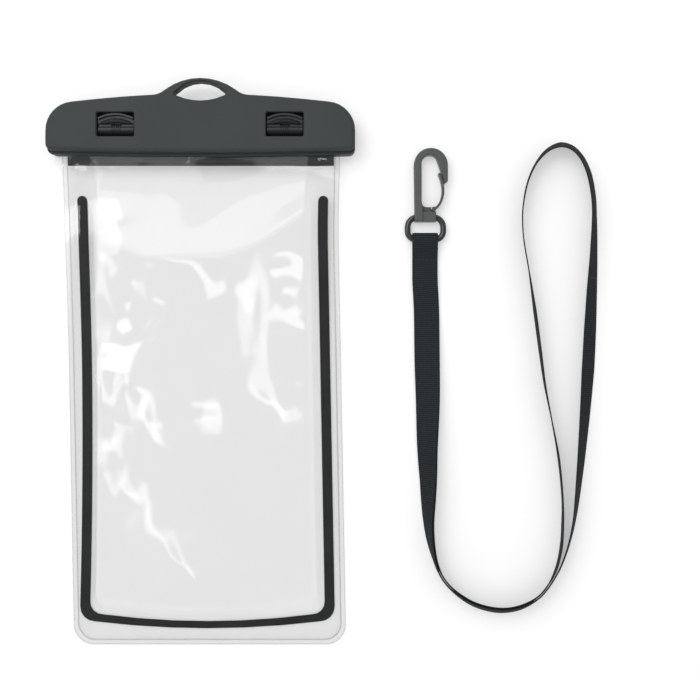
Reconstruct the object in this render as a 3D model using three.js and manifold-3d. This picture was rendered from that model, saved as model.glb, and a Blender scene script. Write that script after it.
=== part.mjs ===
// A clear waterproof phone pouch with a two-part snap clamp, and its neck lanyard lying beside it.
// Millimetres. X runs across the clamp, Y from the pouch's foot to the clamp's cord eye, Z up.
// The origin is under the middle of the pouch, on the surface that it lies on.
import * as THREE from "three";
import { mergeVertices } from "three/addons/utils/BufferGeometryUtils.js";
import Module from "manifold-3d";

const wasm = await Module();
wasm.setup();

// Clamp
const CLAMP_WIDTH = 120;
const CLAMP_THICKNESS = 12;
const CLAMP_EDGE_Y = 82.5; // lower edge, where the films come out
const CLAMP_BOW = 0.9; // the lower edge bows down this much at the middle
const CLAMP_RISE = 22.3; // lower edge to the highest point of the top edge
const TOP_RADIUS = 400; // the top edge is a shallow arc
const SHOULDER_RADIUS = 11.2;
const LOWER_CORNER_RADIUS = 2.5;
const FRONT_EDGE_ROUND = 1.4;
const BACK_EDGE_ROUND = 0.8;
const PARTING_GAP = 0.3;
const FACE_SHORT = 0.4; // the front half's thick part stops this far above the lower edge
const LIP_DROP = 0.8; // its thin lip goes this far below the lower edge
const LIP_TOP_Z = 8.3;
const LIP_ROUND = 0.45;
const BACK_DROP = 0.5; // the back half goes this far below the lower edge

// Cord eye in the middle of the clamp's top edge
const EYE_RISE = 6.1; // above the top edge
const EYE_OUTER_RADIUS = 23;
const EYE_WALL = 1.4; // at the top of the eye
const EYE_HALF_WIDTH = 10;
const EYE_HEIGHT = 7.5;
const EYE_UPPER_RADIUS = 13;
const EYE_LOWER_RADIUS = 22.7;
const EYE_CHAMFER = 0.35;
const EYE_ROOT = 0.6; // the back half stops this far above the top edge, so the eye is in the front half alone
const EYE_RELIEF_HALF = 11; // the back half is cut back under the eye's hole

// Latch windows and latches
const WINDOW_X = 32.75;
const WINDOW_WIDTH = 14.6;
const WINDOW_HEIGHT = 9.4;
const WINDOW_ABOVE_EDGE = 5.6;
const LATCH_CLEARANCE = 0.35;
const KNUCKLE_RADIUS = 2.25;
const RIB_HEIGHT = 0.2;
const RIB_WIDTH = 0.4;
const RIB_PITCH = 0.8;
const RIB_COUNT = 5;
const LATCH_SUNK = 0.6; // the latch's rim lies this far below the clamp's face
const AXLE_RADIUS = 0.9;
const AXLE_LENGTH = 1.3;
const AXLE_CLEARANCE = 0.3;
const ARCH_WIDTH = 0.8; // the raised rim along the pad's far edge
const ARCH_RISE = 1.7;
const PAD_THICKNESS = 1.6;
const PAD_CROWN = 0.35;
const GROOVE_NEAR = 1.35; // the groove between the pad and the knuckle, from the axle
const GROOVE_FAR = 2.35;
const ARM_WIDTH = 8;
const ARM_THICKNESS = 1.5;
const ARM_REACH = 5.1; // from the axle down to the tooth's foot
const TOOTH_REACH = 0.8;
const TOOTH_HEIGHT = 0.8;
const POCKET_CLEARANCE = 0.4;
const CATCH_UNDERCUT = 0.7;

// Films, band and seals
const FILM = 0.4;
const BAND = 0.25;
const STRIP = 0.3;
const SEAM = 0.15; // gap between sheets that lie on each other
const RECESS_CLEARANCE = 0.2;
const FILM_INSERT = 4.5; // how far the films reach into the clamp
const FOOT_Y = -110.9;
const POUCH_HALF_WIDTH = 53.8;
const MOUTH_FLARE = 0.5; // extra half width at the mouth
const MOUTH_CENTRE_X = -0.3;
const LEAN = 0.0185; // sideways drift of the pouch for each millimetre below LEAN_TOP_Y
const LEAN_TOP_Y = 50;
const FOOT_CORNER_RADIUS = 8;
const LIFT_START_Y = -5; // below this the pouch lies flat
const WELD_WIDTH = 1.6;
const WELD_STEP = 0.6;
const BAND_INSET_SIDE = 4.75;
const BAND_WIDTH_SIDE = 3.95;
const BAND_INSET_FOOT = 9.1; // at the two foot corners
const BAND_WIDTH_FOOT = 2.8;
const BAND_TOP_Y = 66;
const BAND_OFFSET_X = 0.5; // the band and tray sit this far off the outline's middle
const BAND_SWAY = 2.7; // their left side runs out this much further at the foot
const BAND_SWAY_FROM_Y = 15;
const BAND_SWAY_TO_Y = -100;
const BAND_FOOT_SAG = 2.7; // the middle of their foot hangs this far below its corners
const TRAY_INSET = 0.3; // tray wall starts this far inside the band
const TRAY_HEIGHT = 9.2;
const TRAY_CROWN = 0.4;
const TRAY_RUN_SIDE = 4.8;
const TRAY_RUN_FOOT = 8.7;
const TRAY_ARC_Y = 41.5; // lowest point of the arc where the tray starts to fall to the mouth
const TRAY_ARC_X = -8;
const TRAY_ARC_RISE = 0.008;
const STRIP_SHOWS = 4; // the mouth strips show this far below the clamp
const STRIP_SHORT = 1;
const STRIP_SIDE_GAP = 0.1;
const GASKET_WIDTH = 2;
const GASKET_HEIGHT = 1.6;
const GASKET_SHORT = 4;
const GASKET_CLEARANCE = 0.2;

// Lanyard hook and ring
const HOOK_THICKNESS = 5;
const HOOK_EDGE_ROUND = 0.4;
const HOOK_ARCH = new THREE.Vector2(89.75, 78.15);
const HOOK_OUTER_RADIUS = 6.65;
const HOOK_STEM_WIDTH = 3;
const HOOK_INNER_RADIUS = 3.25;
const HOOK_INNER_RISE = 0.7; // the opening's arch is centred this far above the outer arch
const HOOK_OPENING_CORNER = 2.4;
const SHANK_FOOT_Y = 55.9;
const SHANK_HEIGHT = 5.8;
const SHANK_RIGHT_X = 91.8;
const SHANK_STEP_X = 86.5;
const SHANK_STEP = 0.6;
const SHANK_RECESS = 1.9;
const SHANK_RECESS_DEPTH = 1.4;
const NOSE_TIP = new THREE.Vector2(95.2, 70.9);
const NOSE_LENGTH = 7.25; // down the outside, from the arch
const RING_RADIUS = 1.2;
const RING_X = 87.7;
const RING_BAR_Y = 57.75;
const RING_HALF_WIDTH = 7;
const RING_HALF_HEIGHT = 4.375;
const RING_TOP_RADIUS = 3.8; // at the two corners by the hook
const RING_FOOT_RADIUS = 3.2;
const RING_BORE_CLEARANCE = 0.3;
const GATE_ROOT = new THREE.Vector2(90.95, 60.85);
const GATE_KNUCKLE_RADIUS = 0.9;
const GATE_CLEARANCE = 0.25;
const GATE_THICKNESS = 0.9;
const GATE_NARROWER = 0.4; // on each face of the hook
const GATE_CURVE = [
  [92.3, 61.75],
  [93.6, 63.6],
  [94.4, 66.1],
  [94.55, 69],
  [93.95, 72.2],
  [93, 74.9],
];

// Webbing
const WEBBING_WIDTH = 10;
const WEBBING_THICKNESS = 0.5;
const WEBBING_LAYER_GAP = 0.25;
const WEBBING_OFF_FLOOR = 0.2;
const WEBBING_STEP = 7; // longest step of the sweep
const FOLD_CLEARANCE = 0.75;
const FOLD_SHIFT = 0.2; // the fold stands this far towards the hook from the ring's bar
const SEWN_TOP_Y = 42;
const SEWN_FOOT_Y = 33;
const WEBBING_X = 87.6;

// The doubled run from the ring to where the two layers part: x, y and lean in degrees,
// 0 lying flat and 90 standing on its edge.
const DOUBLED_RUN = [
  [88.2, 21.8, 0],
  [88.4, 1.8, 14],
  [88.6, -14.1, 27],
  [88.4, -33.9, 45],
  [88.7, -45.8, 56],
  [88.7, -53.6, 63.5],
  [88.8, -61.4, 73],
  [89.6, -69.2, 80],
  [91.4, -77, 87.5],
  [93.5, -82.4, 88.5],
  [96.3, -86.5, 85.5],
  [101.8, -91.3, 80.5],
  [107.9, -94.6, 76],
  [116.8, -96.5, 72.5],
  [124.7, -95.4, 72],
  [131.6, -91.7, 75],
  [135.3, -87.7, 75.5],
];
// The neck loop, up its outer leg, over its top and down its inner leg.
const NECK_LOOP = [
  [138.8, -83, 75.7],
  [140.4, -80, 76],
  [142.3, -75.3, 76],
  [144.2, -69.1, 75.4],
  [146, -60.7, 73.4],
  [147.8, -45.7, 66.8],
  [149.8, -24.1, 58.6],
  [151.4, -2.5, 51],
  [152.2, 13.1, 52],
  [152.9, 28.8, 56.7],
  [153.6, 44.5, 64.2],
  [153.8, 59, 70],
  [153.3, 66.8, 69],
  [151.4, 75.7, 67.8],
  [148.5, 81.5, 68],
  [145.2, 84.7, 68],
  [141.3, 85.9, 70.2],
  [136.2, 84.2, 80.2],
  [131.2, 79, 90.1],
  [127.7, 71.4, 94.5],
  [125.9, 62.3, 97],
  [125.6, 57, 98],
  [126, 49.6, 98.6],
  [128.1, 36.7, 98.8],
  [130.4, 21, 92.9],
  [132.5, 5.3, 93.2],
  [134.4, -8.4, 95.8],
  [137, -21.7, 98.6],
  [139.7, -36.6, 95.7],
  [141.3, -53.5, 97.2],
  [141.3, -63.1, 95.7],
  [140.7, -71.9, 95.6],
  [138.6, -80.7, 98.5],
];

const PARTING_Z = CLAMP_THICKNESS / 2;
const FILM_LIFT = PARTING_Z - 2 * SEAM - STRIP - FILM; // underside of the back film in the clamp
const FRONT_REST = FILM + SEAM + BAND + SEAM; // underside of the front film over that of the back film
const MOUTH_PART = PARTING_Z + 2 * SEAM + STRIP - FILM_LIFT - FRONT_REST;
const MOUTH_TOP_Y = CLAMP_EDGE_Y + FILM_INSERT;
const RECESS_TOP_Y = MOUTH_TOP_Y + RECESS_CLEARANCE;
const WINDOW_FOOT_Y = CLAMP_EDGE_Y + WINDOW_ABOVE_EDGE;
const WINDOW_TOP_Y = WINDOW_FOOT_Y + WINDOW_HEIGHT;
const AXLE_Y = WINDOW_FOOT_Y + KNUCKLE_RADIUS + RIB_HEIGHT + LATCH_CLEARANCE;
const AXLE_Z = CLAMP_THICKNESS - LATCH_SUNK - RIB_HEIGHT - KNUCKLE_RADIUS - 0.65;
const CLAMP_TOP_Y = CLAMP_EDGE_Y + CLAMP_RISE;
const EYE_TOP_Y = CLAMP_TOP_Y + EYE_RISE;

const DARK = 0x434849;
const materials = {
  clamp: new THREE.MeshStandardMaterial({ color: DARK, roughness: 0.55, metalness: 0 }),
  latch: new THREE.MeshStandardMaterial({ color: 0x2c3033, roughness: 0.4, metalness: 0 }),
  film: new THREE.MeshStandardMaterial({
    color: 0xe8e9e7,
    roughness: 0.12,
    metalness: 0,
    transparent: true,
    opacity: 0.3,
  }),
  band: new THREE.MeshStandardMaterial({ color: 0x2a2e2f, roughness: 0.5, metalness: 0 }),
  strip: new THREE.MeshStandardMaterial({ color: 0x3d4243, roughness: 0.6, metalness: 0 }),
  gasket: new THREE.MeshStandardMaterial({ color: 0x303335, roughness: 0.7, metalness: 0 }),
  webbing: new THREE.MeshStandardMaterial({ color: 0x2b2e30, roughness: 0.9, metalness: 0 }),
  hook: new THREE.MeshStandardMaterial({ color: 0x5a5d5d, roughness: 0.5, metalness: 0 }),
  ring: new THREE.MeshStandardMaterial({ color: 0x3c4142, roughness: 0.4, metalness: 0 }),
};

const part = new THREE.Group();

// Solids

function solidOf(geometry) {
  const bare = new THREE.BufferGeometry();
  bare.setAttribute("position", geometry.getAttribute("position"));
  if (geometry.index) bare.setIndex(geometry.index);
  const merged = mergeVertices(bare, 1e-4);
  return new wasm.Manifold(
    new wasm.Mesh({
      numProp: 3,
      vertProperties: merged.attributes.position.array,
      triVerts: new Uint32Array(merged.index.array),
    }),
  );
}

function geometryOf(solid) {
  const mesh = solid.getMesh();
  const geometry = new THREE.BufferGeometry();
  geometry.setAttribute("position", new THREE.BufferAttribute(mesh.vertProperties, 3));
  geometry.setIndex(new THREE.BufferAttribute(mesh.triVerts, 1));
  geometry.computeVertexNormals();
  return geometry;
}

function meshOf(name, geometry, material) {
  const mesh = new THREE.Mesh(geometry, material.clone());
  mesh.name = name;
  return mesh;
}

function join(first, ...others) {
  return others.reduce((all, next) => all.add(next), first);
}

function cut(first, ...others) {
  return others.reduce((all, next) => all.subtract(next), first);
}

function box(low, high) {
  const size = high.map((value, i) => value - low[i]);
  const geometry = new THREE.BoxGeometry(...size);
  geometry.translate(...low.map((value, i) => value + size[i] / 2));
  return solidOf(geometry);
}

// A flat outline in X and Y between two heights, with its edges rounded by `round`.
function plate(points, low, high, round = 0, roundSteps = 2) {
  const geometry = new THREE.ExtrudeGeometry(new THREE.Shape(points), {
    depth: high - low - 2 * round,
    bevelEnabled: round > 0,
    bevelThickness: round,
    bevelSize: round,
    bevelOffset: -round,
    bevelSegments: roundSteps,
  });
  geometry.translate(0, 0, low + round);
  return solidOf(geometry);
}

// A side profile in Y and Z, drawn out along X.
function bar(points, left, right) {
  const geometry = new THREE.ExtrudeGeometry(new THREE.Shape(points), {
    depth: right - left,
    bevelEnabled: false,
  });
  const turn = new THREE.Matrix4().makeBasis(
    new THREE.Vector3(0, 1, 0),
    new THREE.Vector3(0, 0, 1),
    new THREE.Vector3(1, 0, 0),
  );
  geometry.applyMatrix4(turn);
  geometry.translate(left, 0, 0);
  return solidOf(geometry);
}

function point(x, y) {
  return new THREE.Vector2(x, y);
}

function arc(centre, radius, from, to, steps) {
  return Array.from({ length: steps + 1 }, (_, i) => {
    const angle = THREE.MathUtils.degToRad(from + ((to - from) * i) / steps);
    return point(centre.x + radius * Math.cos(angle), centre.y + radius * Math.sin(angle));
  });
}

function circle(centre, radius, sides) {
  return arc(centre, radius, 0, 360, sides).slice(0, -1);
}

function bend(start, corner, end, steps) {
  return new THREE.QuadraticBezierCurve(start, corner, end).getPoints(steps);
}

function rectangle(left, right, low, high, radius, steps = 3) {
  return [
    ...arc(point(right - radius, low + radius), radius, -90, 0, steps),
    ...arc(point(right - radius, high - radius), radius, 0, 90, steps),
    ...arc(point(left + radius, high - radius), radius, 90, 180, steps),
    ...arc(point(left + radius, low + radius), radius, 180, 270, steps),
  ];
}

// A closed surface from its corners and faces, turned to face outwards.
function closedGeometry(corners, faces) {
  const triangles = faces.flatMap(([a, b, c, d]) =>
    d === undefined
      ? [[a, b, c]]
      : [
          [a, b, c],
          [a, c, d],
        ],
  );
  const volume = triangles.reduce((sum, [a, b, c]) => {
    const side = new THREE.Vector3().crossVectors(corners[b], corners[c]);
    return sum + corners[a].dot(side);
  }, 0);
  const order = volume < 0 ? ([a, b, c]) => [a, c, b] : (triangle) => triangle;
  const geometry = new THREE.BufferGeometry();
  geometry.setAttribute(
    "position",
    new THREE.Float32BufferAttribute(
      corners.flatMap((corner) => corner.toArray()),
      3,
    ),
  );
  geometry.setIndex(triangles.flatMap(order));
  geometry.computeVertexNormals();
  return geometry;
}

// Sections of equal count joined one to the next, closed into a loop or capped at both ends.
function sweep(sections, loop) {
  const count = sections[0].length;
  const corners = sections.flat();
  const faces = [];
  const last = loop ? sections.length : sections.length - 1;
  for (let s = 0; s < last; s++) {
    const here = s * count;
    const next = ((s + 1) % sections.length) * count;
    for (let i = 0; i < count; i++) {
      const j = (i + 1) % count;
      faces.push([here + i, here + j, next + j, next + i]);
    }
  }
  if (!loop) {
    const end = (sections.length - 1) * count;
    for (let i = 1; i < count - 1; i++) {
      faces.push([0, i + 1, i]);
      faces.push([end, end + i, end + i + 1]);
    }
  }
  return closedGeometry(corners, faces);
}

// Clamp halves

function topEdgeY(x) {
  return CLAMP_TOP_Y - TOP_RADIUS + Math.sqrt(TOP_RADIUS ** 2 - x ** 2);
}

function eyeOuterY(x) {
  return EYE_TOP_Y - EYE_OUTER_RADIUS + Math.sqrt(EYE_OUTER_RADIUS ** 2 - x ** 2);
}

function clampOutline(extra) {
  const half = CLAMP_WIDTH / 2;
  const low = CLAMP_EDGE_Y - extra;
  const lowCorner = low + LOWER_CORNER_RADIUS;
  const shoulderX = half - SHOULDER_RADIUS;
  const shoulderY = topEdgeY(shoulderX) - SHOULDER_RADIUS;
  const rootX = EYE_OUTER_RADIUS * 0.69;
  const right = [
    ...arc(point(half - LOWER_CORNER_RADIUS, lowCorner), LOWER_CORNER_RADIUS, -90, 0, 4),
    ...arc(point(shoulderX, shoulderY), SHOULDER_RADIUS, 0, 84, 8),
    ...[40, 30, 22].map((x) => point(x, topEdgeY(x))),
    ...bend(
      point(rootX + 2.6, topEdgeY(rootX + 2.6)),
      point(rootX, topEdgeY(rootX)),
      point(rootX - 2.3, eyeOuterY(rootX - 2.3)),
      3,
    ),
    ...[10.5, 7, 3.5].map((x) => point(x, eyeOuterY(x))),
  ];
  const left = right.map((p) => point(-p.x, p.y)).reverse();
  const foot = [-45, -30, -15, 0, 15, 30, 45].map((x) =>
    point(x, low - CLAMP_BOW * (1 - (x / half) ** 2)),
  );
  return [...right, point(0, EYE_TOP_Y), ...left, ...foot];
}

function eyeHole(grow = 0) {
  const top = EYE_TOP_Y - EYE_WALL + grow;
  const low = EYE_TOP_Y - EYE_WALL - EYE_HEIGHT - grow;
  const half = EYE_HALF_WIDTH + grow;
  const tipX = half - 0.7;
  const upperY = (x) => top - EYE_UPPER_RADIUS + Math.sqrt(EYE_UPPER_RADIUS ** 2 - x ** 2);
  const lowerY = (x) => low + EYE_LOWER_RADIUS - Math.sqrt(EYE_LOWER_RADIUS ** 2 - x ** 2);
  const tipY = (upperY(tipX) + lowerY(tipX)) / 2;
  const right = [
    ...[0, 3, 6].map((x) => point(x, lowerY(x))),
    ...bend(
      point(tipX, lowerY(tipX)),
      point(half + 0.6, tipY),
      point(tipX, upperY(tipX)),
      4,
    ),
    ...[6.5, 3.3].map((x) => point(x, upperY(x))),
  ];
  const left = right
    .slice(1)
    .map((p) => point(-p.x, p.y))
    .reverse();
  return [...right, point(0, top), ...left];
}

// The space that the films and strips take in one half, between two heights.
function filmRecess(low, high) {
  const half = POUCH_HALF_WIDTH + MOUTH_FLARE + 2 * RECESS_CLEARANCE;
  return box(
    [MOUTH_CENTRE_X - half, CLAMP_EDGE_Y - 10, low],
    [MOUTH_CENTRE_X + half, RECESS_TOP_Y, high],
  );
}

function windowOutline(x, grow = 0) {
  return rectangle(
    x - WINDOW_WIDTH / 2 - grow,
    x + WINDOW_WIDTH / 2 + grow,
    WINDOW_FOOT_Y - grow,
    WINDOW_TOP_Y + grow,
    0.6 + grow,
  );
}

function clampFront() {
  const far = CLAMP_WIDTH;
  let solid = cut(
    join(
      plate(clampOutline(-FACE_SHORT), 0, CLAMP_THICKNESS, FRONT_EDGE_ROUND, 3),
      plate(clampOutline(LIP_DROP), 0, LIP_TOP_Z, LIP_ROUND),
    ),
    plate(eyeHole(), -1, CLAMP_THICKNESS + 1),
    plate(eyeHole(EYE_CHAMFER), CLAMP_THICKNESS - 2 * EYE_CHAMFER, CLAMP_THICKNESS + 1),
    box([-far, -far, -1], [far, 2 * far, PARTING_Z + PARTING_GAP / 2]),
    filmRecess(0, PARTING_Z + 2 * SEAM + STRIP + FILM + RECESS_CLEARANCE),
  );
  for (const x of [-WINDOW_X, WINDOW_X]) {
    const reach = WINDOW_WIDTH / 2 + AXLE_LENGTH;
    solid = cut(
      solid,
      plate(windowOutline(x), 0, CLAMP_THICKNESS + 1),
      plate(windowOutline(x, 0.25), CLAMP_THICKNESS - 0.25, CLAMP_THICKNESS + 1),
      bar(circle(point(AXLE_Y, AXLE_Z), AXLE_RADIUS + AXLE_CLEARANCE, 16), x - reach, x + reach),
    );
  }
  return meshOf("clamp_front", geometryOf(solid), materials.clamp);
}

function latchPocket(x) {
  const half = ARM_WIDTH / 2 + POCKET_CLEARANCE;
  const floor = AXLE_Z - ARM_REACH - POCKET_CLEARANCE;
  const wall = AXLE_Y - ARM_THICKNESS / 2 - TOOTH_REACH - POCKET_CLEARANCE;
  const swing = AXLE_Y + ARM_REACH + ARM_THICKNESS / 2 + POCKET_CLEARANCE;
  const toothTop = AXLE_Z - ARM_REACH + TOOTH_HEIGHT + POCKET_CLEARANCE;
  return join(
    box([x - half, wall, floor], [x + half, swing, PARTING_Z + 1]),
    box([x - half, wall - CATCH_UNDERCUT, floor], [x + half, swing, toothTop]),
  );
}

function gasketMiddleY() {
  return CLAMP_EDGE_Y + FILM_INSERT / 2;
}

function gasketBox(grow) {
  const half = POUCH_HALF_WIDTH + MOUTH_FLARE - GASKET_SHORT + grow;
  const top = FILM_LIFT - SEAM;
  return box(
    [MOUTH_CENTRE_X - half, gasketMiddleY() - GASKET_WIDTH / 2 - grow, top - GASKET_HEIGHT - grow],
    [MOUTH_CENTRE_X + half, gasketMiddleY() + GASKET_WIDTH / 2 + grow, top],
  );
}

function clampBack() {
  const far = CLAMP_WIDTH;
  const underEye = EYE_TOP_Y - EYE_WALL - EYE_HEIGHT - EYE_CHAMFER;
  const half = EYE_RELIEF_HALF;
  const solid = cut(
    plate(clampOutline(BACK_DROP), 0, PARTING_Z - PARTING_GAP / 2, BACK_EDGE_ROUND),
    box([-far, CLAMP_TOP_Y + EYE_ROOT, -1], [far, 2 * far, CLAMP_THICKNESS]),
    box([-half, underEye, -1], [half, 2 * far, CLAMP_THICKNESS]),
    filmRecess(FILM_LIFT - RECESS_CLEARANCE, CLAMP_THICKNESS),
    gasketBox(GASKET_CLEARANCE),
    latchPocket(-WINDOW_X),
    latchPocket(WINDOW_X),
  );
  return meshOf("clamp_back", geometryOf(solid), materials.clamp);
}

// One latch, about its axle: a domed thumb pad with a raised arched rim, a ribbed knuckle and a toothed arm.
function latch(name) {
  const half = WINDOW_WIDTH / 2 - LATCH_CLEARANCE;
  const reach = WINDOW_TOP_Y - LATCH_CLEARANCE - AXLE_Y;
  const rimTop = CLAMP_THICKNESS - LATCH_SUNK - AXLE_Z;
  const padLow = 0.3;
  const padTop = padLow + PAD_THICKNESS;
  const archRadius = (half ** 2 + ARCH_RISE ** 2) / (2 * ARCH_RISE);
  const archAngle = THREE.MathUtils.radToDeg(Math.asin(half / archRadius));
  const arch = (radius) =>
    arc(point(0, reach - archRadius), radius, 90 - archAngle, 90 + archAngle, 10);
  const pad = plate([point(-half, 0), point(half, 0), ...arch(archRadius)], padLow, padTop);
  const rim = plate(
    [...arch(archRadius), ...arch(archRadius - ARCH_WIDTH).reverse()],
    padLow,
    rimTop,
  );
  // The dome follows the arch, and falls away to its sides.
  const domeHalf = half - 0.9;
  const domeSections = Array.from({ length: 11 }, (_, i) => {
    const x = domeHalf * (i / 5 - 1);
    const back = archRadius - Math.sqrt(archRadius ** 2 - x ** 2);
    const fall = PAD_CROWN * (x / domeHalf) ** 2;
    return [
      [GROOVE_NEAR, padLow + 0.2],
      [reach - 1.7 - back, padLow + 0.2],
      [reach - 1.7 - back, padTop - 0.1 - fall],
      [reach - 2.1 - back, padTop + 0.35 - fall],
      [reach - 2.8 - back, padTop + 0.6 - fall],
      [reach - 3.4 - back, padTop + 0.45 - fall],
      [GROOVE_FAR - 0.1, padTop - 0.45 - fall],
      [GROOVE_NEAR, padTop - 0.6 - fall],
    ].map(([y, z]) => new THREE.Vector3(x, y, z));
  });
  const dome = solidOf(sweep(domeSections, false));
  const knuckle = bar(circle(point(0, 0), KNUCKLE_RADIUS, 24), -half, half);
  const groove = box([-half - 1, GROOVE_NEAR, padLow + 0.65], [half + 1, GROOVE_FAR, rimTop + 1]);
  const axle = bar(
    circle(point(0, 0), AXLE_RADIUS, 16),
    -half - AXLE_LENGTH,
    half + AXLE_LENGTH,
  );
  const back = -ARM_THICKNESS / 2;
  const arm = bar(
    [
      point(back, 0),
      point(back, -ARM_REACH + TOOTH_HEIGHT),
      point(back - TOOTH_REACH, -ARM_REACH + TOOTH_HEIGHT),
      point(back - TOOTH_REACH * 0.6, -ARM_REACH),
      point(-back, -ARM_REACH),
      point(-back, 0),
    ],
    -ARM_WIDTH / 2,
    ARM_WIDTH / 2,
  );
  const ribs = Array.from({ length: RIB_COUNT }, (_, i) => {
    const x = (i - (RIB_COUNT - 1) / 2) * RIB_PITCH;
    const outline = circle(point(0, 0), KNUCKLE_RADIUS + RIB_HEIGHT, 24);
    return bar(outline, x - RIB_WIDTH / 2, x + RIB_WIDTH / 2);
  });
  const mesh = meshOf(
    name,
    geometryOf(join(cut(join(pad, dome, knuckle), groove), rim, axle, arm, ...ribs)),
    materials.latch,
  );
  mesh.position.set(name === "latch_left" ? -WINDOW_X : WINDOW_X, AXLE_Y, AXLE_Z);
  return mesh;
}

function gasket() {
  return meshOf("mouth_gasket", geometryOf(gasketBox(0)), materials.gasket);
}

// Films: each is a grid of plan points with an upper and a lower height.

function clamp01(value) {
  return Math.min(1, Math.max(0, value));
}

function ease(t) {
  return t * t * (3 - 2 * t);
}

function centreX(y) {
  return MOUTH_CENTRE_X + LEAN * Math.max(0, LEAN_TOP_Y - y);
}

function halfWidth(y) {
  const start = CLAMP_EDGE_Y - 32;
  return POUCH_HALF_WIDTH + MOUTH_FLARE * ease(clamp01((y - start) / (CLAMP_EDGE_Y - start)));
}

// The underside of the back film rises from the surface to the middle of the clamp.
function lift(y) {
  const t = clamp01((y - LIFT_START_Y) / (CLAMP_EDGE_Y - CLAMP_BOW - LIFT_START_Y));
  return FILM_LIFT * t * t * (1.6 - 0.6 * t);
}

// The front film's underside where it lies on the band.
function frontRest(y) {
  const start = CLAMP_EDGE_Y - 22;
  const parted = ease(clamp01((y - start) / (CLAMP_EDGE_Y - CLAMP_BOW - start)));
  return lift(y) + FRONT_REST + MOUTH_PART * parted;
}

function panelTop(x, y) {
  const across = (x - centreX(y)) / POUCH_HALF_WIDTH;
  return TRAY_HEIGHT + TRAY_CROWN * (1 - across ** 2);
}

// 1 on the tray, falling to 0 at the mouth.
function trayEnd(x, y) {
  const arcY = TRAY_ARC_Y + TRAY_ARC_RISE * (x - TRAY_ARC_X) ** 2;
  const mouthY = CLAMP_EDGE_Y - CLAMP_BOW - 0.3;
  return clamp01((mouthY - y) / (mouthY - arcY));
}

const ROWS = 18;
const COLUMNS = 10;
const CORNER_STEPS = 2;
const ROW_CROWDING = 1.25; // rows lie closer together towards the mouth

// A rounded outline as one closed run of plan points, the same number for every inset.
// It goes down the left side, along the foot, up the right side and back along the top.
// follow is 0 for a run parallel to the pouch's edge and 1 for one parallel to the band.
function outlineRun({ side, foot, top, radius, follow }) {
  const low = FOOT_Y + foot;
  const high = MOUTH_TOP_Y - top;
  const second = high - MOUTH_TOP_Y + CLAMP_EDGE_Y - CLAMP_BOW;
  const swayed = (sign, y) => {
    const down = clamp01((BAND_SWAY_FROM_Y - y) / (BAND_SWAY_FROM_Y - BAND_SWAY_TO_Y));
    return follow * (BAND_OFFSET_X - (sign < 0 ? BAND_SWAY * down ** 2 : 0));
  };
  const edge = (sign, y) => centreX(y) + swayed(sign, y) + sign * (halfWidth(y) - side);
  const corner = (sign, turn) => {
    const y = low + radius * (1 - Math.sin(turn));
    return point(edge(sign, y) - sign * radius * (1 - Math.cos(turn)), y);
  };
  const straight = ROWS - CORNER_STEPS;
  const sideRun = (sign) =>
    Array.from({ length: ROWS + 1 }, (_, i) => {
      if (i === 0) return point(edge(sign, high), high);
      if (i <= straight) {
        const share = ((i - 1) / (straight - 1)) ** ROW_CROWDING;
        const y = second + (low + radius - second) * share;
        return point(edge(sign, y), y);
      }
      return corner(sign, ((i - straight) / CORNER_STEPS) * (Math.PI / 4));
    });
  const left = sideRun(-1);
  const right = sideRun(1).reverse();
  const footTurn = (j) => Math.PI / 4 + (j / CORNER_STEPS) * (Math.PI / 4);
  const footRun = [];
  for (let j = 1; j < COLUMNS; j++) {
    if (j < CORNER_STEPS) footRun.push(corner(-1, footTurn(j)));
    else if (j > COLUMNS - CORNER_STEPS) footRun.push(corner(1, footTurn(COLUMNS - j)));
    else {
      const from = edge(-1, low) + radius;
      const to = edge(1, low) - radius;
      const share = (j - CORNER_STEPS) / (COLUMNS - 2 * CORNER_STEPS);
      const sag = follow * BAND_FOOT_SAG * (1 - (2 * share - 1) ** 2);
      footRun.push(point(from + (to - from) * share, low - sag));
    }
  }
  const topRun = Array.from({ length: COLUMNS - 1 }, (_, j) =>
    point(edge(1, high) + ((edge(-1, high) - edge(1, high)) * (j + 1)) / COLUMNS, high),
  );
  return [...left, ...footRun, ...right, ...topRun];
}

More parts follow.
